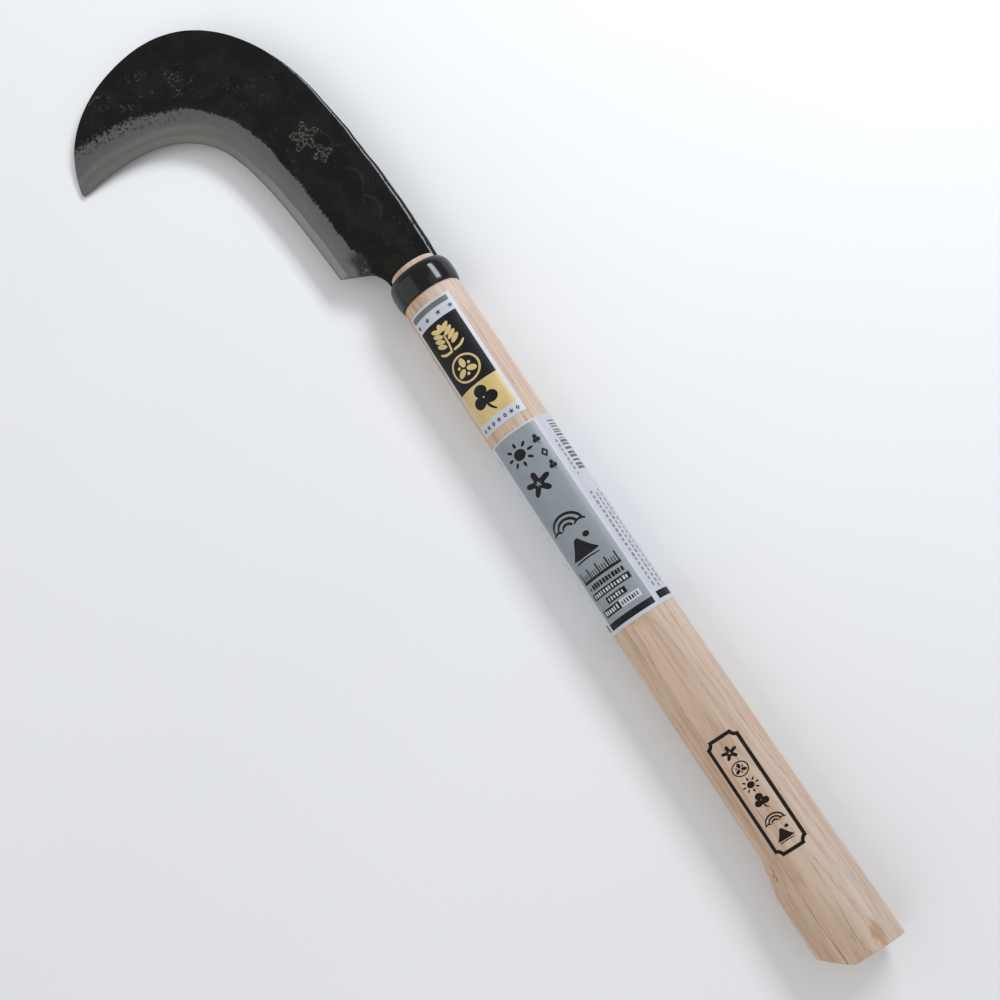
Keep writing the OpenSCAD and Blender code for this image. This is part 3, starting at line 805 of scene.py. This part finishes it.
def brush(points, width, place, layer):
    """Closed brush stroke through the points, thick in the middle; place maps (u, v, lift)."""
    start_w, end_w = 0.45, 0.15
    p = np.array(points, float)
    if len(p) > 2:
        # A smooth curve through all points
        t = np.linspace(0, len(p) - 1, 5 * len(p))
        k = np.clip(t.astype(int), 0, len(p) - 2)
        q = (t - k)[:, None]
        before, after = p[np.maximum(k - 1, 0)], p[np.minimum(k + 2, len(p) - 1)]
        a, b = p[k], p[k + 1]
        line = a + 0.5 * q * (b - before + q * (2 * before - 5 * a + 4 * b - after
                                                + q * (3 * (a - b) + after - before)))
    else:
        line = np.linspace(p[0], p[1], 6)
    tangent = np.gradient(line, axis=0)
    tangent /= np.linalg.norm(tangent, axis=1)[:, None] + 1e-9
    side = np.column_stack([-tangent[:, 1], tangent[:, 0]])
    s = np.linspace(0, 1, len(line))
    swell = np.sin(math.pi * np.clip(0.12 + 0.76 * s, 0, 1)) ** 0.5
    half = width / 2 * swell * (1 + (start_w - end_w) * (0.5 - s))
    half[0] *= start_w + 0.3
    half[-1] *= end_w + 0.3
    low, high = layer
    rows = []
    for at, out, h in zip(line, side, half):
        edges = [at + out * h * k for k in (-1, 0, 1)]
        rows += [place(*e, high) for e in edges] + [place(*e, low) for e in edges[::-1]]
    return np.array(rows), loft_faces(len(line), 6)


def blot(outline, hole, place, layer, step=0.13):
    """Closed filled shape that is star-shaped about its middle; hole is the share left empty."""
    o = np.array(outline, float)
    mid = o.mean(0)
    loop = np.vstack([o, o[:1]])
    run = lengths(loop)
    n = max(12, int(run[-1] / step))
    o = at_share(loop, run, np.arange(n) / n)
    reach = np.linalg.norm(o - mid, axis=1).max() * (1 - hole)
    shares = np.linspace(1, hole or 0.02, max(2, int(reach / step) + 2))
    low, high = layer
    rows = [[place(*(mid + (q - mid) * k), high) for q in o] for k in shares]
    rows += [[place(*(mid + (q - mid) * k), low) for q in o] for k in shares[::-1]]
    return np.array(rows).reshape(-1, 3), tube_faces(len(rows), n)


class Print:
    """Collects closed plates and strokes of one ink into one mesh."""

    def __init__(self, name, material):
        self.name, self.material = name, material
        self.points, self.faces, self.count = [], [], 0

    def add(self, part):
        pts, faces = part
        self.points.append(pts)
        self.faces += [tuple(i + self.count for i in f) for f in faces]
        self.count += len(pts)

    def finish(self):
        return build(self.name, np.concatenate(self.points), self.faces, self.material, 40)


def polar(r, a, x=0.0, y=0.0):
    return x + r * math.cos(a), y + r * math.sin(a)


def arc(cx, cy, r, start, end, n=9):
    return [polar(r, v, cx, cy) for v in np.radians(np.linspace(start, end, n))]


def lobes(count, mean, swing, sharp=1.0):
    """Outline of a flower with the given number of lobes."""
    t = np.radians(np.linspace(0, 360, 60, endpoint=False))
    wave = np.cos(count * (t - math.radians(90)))
    return [polar(r, a) for r, a in zip(mean + swing * np.sign(wave) * np.abs(wave) ** sharp, t)]


def grain(x, y, heading, length=0.34, wide=0.15, n=12):
    """Outline of one grain of rice, laid along its heading."""
    t = np.radians(np.linspace(0, 360, n, endpoint=False))
    c, s = direction(heading)
    along, across = length * np.cos(t), wide * np.sin(t)
    return [(x + a * c - b * s, y + a * s + b * c) for a, b in zip(along, across)]


def ball(centre, r, n):
    return grain(*centre, 0, r, r, n)


def ear():
    """A ripe ear: a stem, paired grains, one at the top and two leaves below."""
    items = [("brush", [(-0.1, -1), (0, -0.4), (0.02, 0.3)], 0.11)]
    for k in range(4):
        y, spread = -0.42 + 0.33 * k, 0.44 - 0.05 * k
        items.append(("blot", grain(spread, y + 0.13, 38), 0))
        items.append(("blot", grain(-spread + 0.02, y + 0.13, 142), 0))
    items.append(("blot", grain(0.03, 0.78, 90, 0.26), 0))
    for side in (-1, 1):
        leaf = [(0.06 * side, -0.92), (0.5 * side, -0.86), (0.80 * side, -0.62)]
        items.append(("brush", leaf, 0.17))
    return items


# Plain pictures in a box from -1 to 1: brush strokes with a width, and blots with a hole's share
THREE = np.radians([90, 210, 330])
MOTIFS = {
    "ear": ear(),
    "flower": [("blot", lobes(5, 0.66, 0.30, 0.7), 0.22)]
              + [("blot", ball(polar(0.13, a), 0.05, 8), 0) for a in (0.3, 2.4, 4.5)],
    "clover": [("blot", ball(polar(0.47, a, 0, 0.12), 0.43, 24), 0) for a in THREE]
              + [("brush", [(0, 0), (0.05, -0.6), (0.32, -1.08)], 0.17)],
    "crest": [("blot", lobes(1, 0.96, 0), 0.86)]
             + [("blot", grain(*polar(0.40, a), math.degrees(a), 0.34, 0.2), 0) for a in THREE]
             + [("blot", ball(polar(0.42, a), 0.11, 10), 0) for a in np.radians([30, 150, 270])],
    "wave": [("brush", arc(0, -0.75, r, 12, 168), 0.2) for r in (0.35, 0.72, 1.1)]
            + [("brush", arc(x, -1.05, 0.5, 40, 140, 5), 0.16) for x in (-0.85, 0.85)],
    "peak": [("blot", [(-1, -0.72), (-0.62, -0.25), (-0.3, 0.3), (-0.14, 0.62), (0.12, 0.66),
                       (0.32, 0.28), (0.6, -0.2), (1, -0.72), (0.5, -0.78), (-0.5, -0.78)], 0),
             ("blot", ball((0.72, 0.55), 0.22, 16), 0),
             ("brush", [(-0.9, -0.98), (0, -0.94), (0.9, -1.0)], 0.12)],
    "sun": [("blot", lobes(1, 0.42, 0), 0)]
           + [("brush", [polar(0.58, a), polar(0.98, a)], 0.20)
              for a in np.radians(np.arange(0, 360, 45))],
    "gem": [("blot", [(0, -0.95), (0.8, 0), (0, 0.95), (-0.8, 0)], 0.4)],
}


def draw(ink, name, place, layer):
    """Prints a motif; place maps a point of its box and a lift to the handle."""
    for kind, points, value in MOTIFS[name]:
        ink.add((brush if kind == "brush" else blot)(points, value, place, layer))


def on_label(cx, ca, ru, rv):
    """Place for a motif at station cx and angle ca; ru and rv are its half sizes."""
    return lambda u, v, lift: skin(cx + v * rv, ca + u * ru * MM_TO_DEG, lift)


def dashes(ink, x0, x1, a0, a1, count, layer, fill, seed):
    """A row of small blocks of uneven length where fine print would be."""
    rng = np.random.default_rng(seed)
    step = (a1 - a0) / count
    for k in range(count):
        wide = step * fill * rng.uniform(0.7, 1.15)
        start = a0 + k * step
        top = x1 - (x1 - x0) * rng.uniform(0, 0.18)
        ink.add(patch(x0, top, start, start + wide, layer))


def column(ink, a, width, x_top, x_low, layer, seed, pitch):
    """A column of small blocks that runs along the handle."""
    rng = np.random.default_rng(seed)
    x = x_top
    while x > x_low + 1:
        tall = pitch * rng.uniform(0.5, 0.8)
        wide = width * rng.uniform(0.65, 1.0)
        ink.add(patch(x - tall, x, a - wide / 2, a + wide / 2, layer))
        x -= pitch


def make_labels():
    paper_u = Print("upper_label_paper", WHITE)
    paper_l = Print("lower_label_paper", WHITE)
    grey = Print("lower_label_panel", GREY)
    strip = Print("upper_label_strip", STRIP)
    gold = Print("upper_label_gold", GOLD)
    ink = Print("label_black_print", INK)
    white = Print("label_white_print", WHITE)
    fine = Print("label_fine_print", FINE)
    bars = Print("label_stock_bars", BARS)

    # Upper label, from the ring downwards
    paper_u.add(patch(*UPPER_X, *UPPER_ANGLES, PAPER))
    strip.add(patch(306.2, 308.6, 35, 119.6, FIRST))
    for a in (41, 66.5, 91, 115.5):
        draw(ink, "flower", on_label(303.7, a, 1.1, 1.1), FIRST)
    ink.add(patch(269.4, 301.2, 35, 119.8, FIRST))
    draw(gold, "ear", on_label(292.6, 77, 7.6, 6.6), SECOND)
    draw(gold, "crest", on_label(277.4, 78, 6.6, 6.4), SECOND)
    gold.add(patch(254.1, 269.4, 34.6, 119.8, FIRST))
    draw(ink, "clover", on_label(262.2, 77, 6.6, 6.0), SECOND)
    for k in range(7):
        draw(ink, ("gem", "flower")[k % 2], on_label(251.4, 40 + 12.6 * k, 1.0, 1.1), FIRST)

    # Lower label: front panel
    paper_l.add(patch(*LOWER_X, *LOWER_ANGLES, PAPER))
    grey.add(patch(155.0, 243.6, 31, 126.5, FIRST))
    ink.add(patch(154.9, 157.7, 31.5, 126, SECOND))
    for name, x in (("sun", 234.4), ("flower", 220.2), ("wave", 202.4), ("peak", 189.6)):
        draw(ink, name, on_label(x, 74, 6.2, 5.6), SECOND)
    for name, x in (("clover", 236), ("gem", 229.6), ("clover", 223.4)):
        draw(ink, name, on_label(x, 111.5, 1.9, 2.3), SECOND)
    # A size line drawn as a ruler, and a finer one under it
    for k in range(17):
        a = 40 + 4.6 * k
        tall, wide = (4.4, 2.6) if k % 4 == 0 else (2.6, 1.5)
        ink.add(patch(176.6, 176.6 + tall, a, a + wide, SECOND))
    ink.add(patch(175.6, 176.7, 39, 117, SECOND))
    draw(ink, "gem", on_label(173.2, 44, 0.8, 1.0), SECOND)
    dashes(ink, 172.2, 174.5, 50, 115, 11, SECOND, 0.7, 4)
    # Black bars with white print, and a white one with black print
    for x0, x1, a0, a1, count in ((168.3, 171.1, 39, 117, 13), (164.3, 167.0, 60, 98, 6)):
        ink.add(patch(x0, x1, a0, a1, SECOND))
        dashes(white, x0 + 0.6, x1 - 0.5, a0 + 4, a1 - 3, count, THIRD, 0.62, int(x0))
    ink.add(patch(160.1, 163.3, 39, 77, SECOND))
    dashes(white, 160.8, 162.8, 42, 75, 6, THIRD, 0.62, 9)
    white.add(patch(160.1, 163.3, 77, 115, SECOND))
    dashes(ink, 160.8, 162.7, 80, 113, 7, THIRD, 0.55, 12)

    # Lower label: the white side, with stock bars and columns of fine print
    rng = np.random.default_rng(21)
    x = 241.0
    while x > 216:
        tall = rng.choice([0.35, 0.6, 0.9, 1.2])
        bars.add(patch(x - tall, x, 151, 178, FIRST))
        x -= tall + rng.choice([0.45, 0.7, 1.0])
    column(fine, 142.5, 5.0, 232, 217, FIRST, 3, 2.2)
    draw(fine, "gem", on_label(215.4, 142.5, 0.7, 0.6), FIRST)
    for k, a in enumerate((142.5, 154, 165.5, 177)):
        column(fine, a, 5.6, 206.5 - 1.5 * (k % 2), 160, FIRST, 30 + k, 2.3)
    ink.add(patch(155.2, 158.4, 137, 186, FIRST))
    # and the part that turns under the handle
    dashes(fine, 236, 239.5, 196, 240, 9, FIRST, 0.7, 40)
    for k in range(11):
        x = 228.5 - 5.6 * k
        dashes(fine, x, x + 2, 195, 241 - 6 * (k % 3), 12, FIRST, 0.72, 50 + k)
    ink.add(patch(155.2, 158.4, 196, 248, FIRST))
    dashes(fine, 236, 239.5, -62, 18, 15, FIRST, 0.7, 41)
    for k in range(6):
        x = 222 - 9 * k
        dashes(fine, x, x + 2.4, -62, 16 - 9 * (k % 2), 18, FIRST, 0.72, 70 + k)
    ink.add(patch(155.2, 158.4, -66, 22, FIRST))

    pieces = [p.finish() for p in (paper_u, paper_l, grey, strip, gold, ink, white, fine, bars)]
    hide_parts("upper_label")
    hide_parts("lower_label")
    return [(p, "label_paper") for p in pieces]


# ---- frame printed near the butt ----
def mark_place(x, y, lift):
    """Plan point (x, y) carried up to the handle's oval."""
    off = (y - bow_at(x)) / (half_w(x) + (flare_at(x) if y > bow_at(x) else 0))
    return np.array([x, y, half_w(x) * FLATNESS * math.sqrt(max(0.0, 1 - off * off)) + lift])


def frame_outline(inset):
    """Outline of the printed frame, set in by the given amount, with scooped corners."""
    scoop, low, high = 2.2, MARK_Y - MARK_W / 2, MARK_Y + MARK_W / 2
    side_steps = 24
    r = scoop + inset
    start = math.degrees(math.asin(inset / r))
    corners = [(MARK_X[0], low), (MARK_X[1], low), (MARK_X[1], high), (MARK_X[0], high)]
    arcs = [arc(cx, cy, r, 90 * k + 90 - start, 90 * k + start)
            for k, (cx, cy) in enumerate(corners)]
    pts = []
    for k in range(4):
        a, b = np.array(arcs[k][-1]), np.array(arcs[(k + 1) % 4][0])
        pts += arcs[k] + [tuple(a + (b - a) * i / side_steps) for i in range(1, side_steps)]
    return pts


def make_mark():
    mark = Print("butt_print", STAMP)
    low, high = STAMPED
    rows = []
    for outer, inner in zip(frame_outline(0), frame_outline(MARK_LINE_W)):
        mid = ((outer[0] + inner[0]) / 2, (outer[1] + inner[1]) / 2)
        rows += [mark_place(*q, high) for q in (outer, mid, inner)]
        rows += [mark_place(*q, low) for q in (inner, mid, outer)]
    mark.add((np.array(rows), tube_faces(len(rows) // 6, 6)))
    for k, name in enumerate(("flower", "crest", "sun", "clover", "wave", "peak")):
        cx = MARK_X[1] - 7.6 - 7.1 * k
        draw(mark, name, lambda u, v, lift: mark_place(cx + v * 3.1, MARK_Y - u * 3.7, lift),
             STAMPED)
    piece = mark.finish()
    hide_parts("butt_mark")
    return piece


# ---- assemble ----
blade, steel = make_blade()
handle = make_handle()
ring = make_ring()
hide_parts("blade")
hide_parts("edge_steel")
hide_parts("handle")
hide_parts("ferrule")
pieces = [(blade, "forged_blade"), (steel, "hard_edge"), (handle, "oak"), (ring, "black_ring"),
          (make_mark(), "black_ink")] + make_labels()
for piece, slot in pieces:
    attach(piece, "root")
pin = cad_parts["tang_pin"]
pin.data.materials.clear()
pin.data.materials.append(WIRE)

# ---- studio ----
low, high = (np.array(c) for c in cad_box)
centre = (low + high) / 2
FLOOR_HALF, FLOOR_GAP = 6.0, 0.0002      # metres


def floor_look():
    m = Look("studio_floor")
    cloud = m.noise(m.coords(), 0.004, 2, 0.5)
    colour = m.mix(m.step(cloud, 0.3, 0.7), (0.86, 0.86, 0.86), (0.88, 0.88, 0.885))
    return m.surface(Base_Color=colour, Roughness=m.step(cloud, 0.3, 0.7, 0.7, 0.8))


floor = build("studio_floor",
              [(centre[0] + sx * FLOOR_HALF, centre[1] + sy * FLOOR_HALF, low[2] - FLOOR_GAP)
               for sx, sy in ((-1, -1), (1, -1), (1, 1), (-1, 1))],
              [(0, 1, 2, 3)], floor_look(), in_row=True)


def area_light(name, at, aim, wide, tall, power, colour=(1, 1, 1)):
    """Rectangular light with its long side along X, turned about X to face the aim."""
    light = bpy.data.lights.new(name, "AREA")
    light.shape, light.size, light.size_y = "RECTANGLE", wide, tall
    light.energy, light.color = power, colour
    obj = show(name, light)
    obj.location = at
    off = Vector(at) - Vector(aim)
    x, z = Vector((1, 0, 0)), Vector((0, off.y, off.z)).normalized()
    obj.rotation_euler = Matrix((x, z.cross(x), z)).transposed().to_euler()


# The key light makes the long highlight on the ring
ring_at = to_row([((RING_LOW + RING_TOP) / 2, -7, 11)])[0]
key_at = ring_at + 0.95 * np.array([0.33, -0.71, 0.61])
area_light("key_strip", key_at, ring_at, 0.66, 0.24, 6.4, (0.91, 0.95, 1))
area_light("soft_top", centre + (-0.15, -0.8, 1.0), centre, 1.2, 0.9, 1.2)
area_light("fill_left", centre + (0.0, 1.4, 1.0), centre, 3.4, 2.2, 14.5)
world = bpy.data.worlds.new("studio")
world.use_nodes = True
sky = world.node_tree.nodes["Background"].inputs
sky["Color"].default_value = (0.95, 0.97, 1, 1)
sky["Strength"].default_value = 0.46
bpy.context.scene.world = world
bpy.context.scene.view_settings.view_transform = "Standard"

# ---- camera ----
CAMERA_AT = (106.309, -68.883, 583.7)      # in the tool's frame
camera_data = bpy.data.cameras.new("camera")
camera_data.lens = 52.563
camera_data.sensor_width = 36
camera_data.clip_start = 0.01
camera = show("camera", camera_data)
right = Vector((-0.53942, -0.82904, -0.14736)).normalized()
back = Vector((-0.19911, -0.04446, 0.97897)).normalized()
turn = Matrix((right, back.cross(right).normalized(), back)).transposed().to_4x4()
camera.matrix_world = Matrix.Translation(Vector(to_row([CAMERA_AT])[0])) @ turn
bpy.context.scene.camera = camera

bpy.context.view_layer.update()
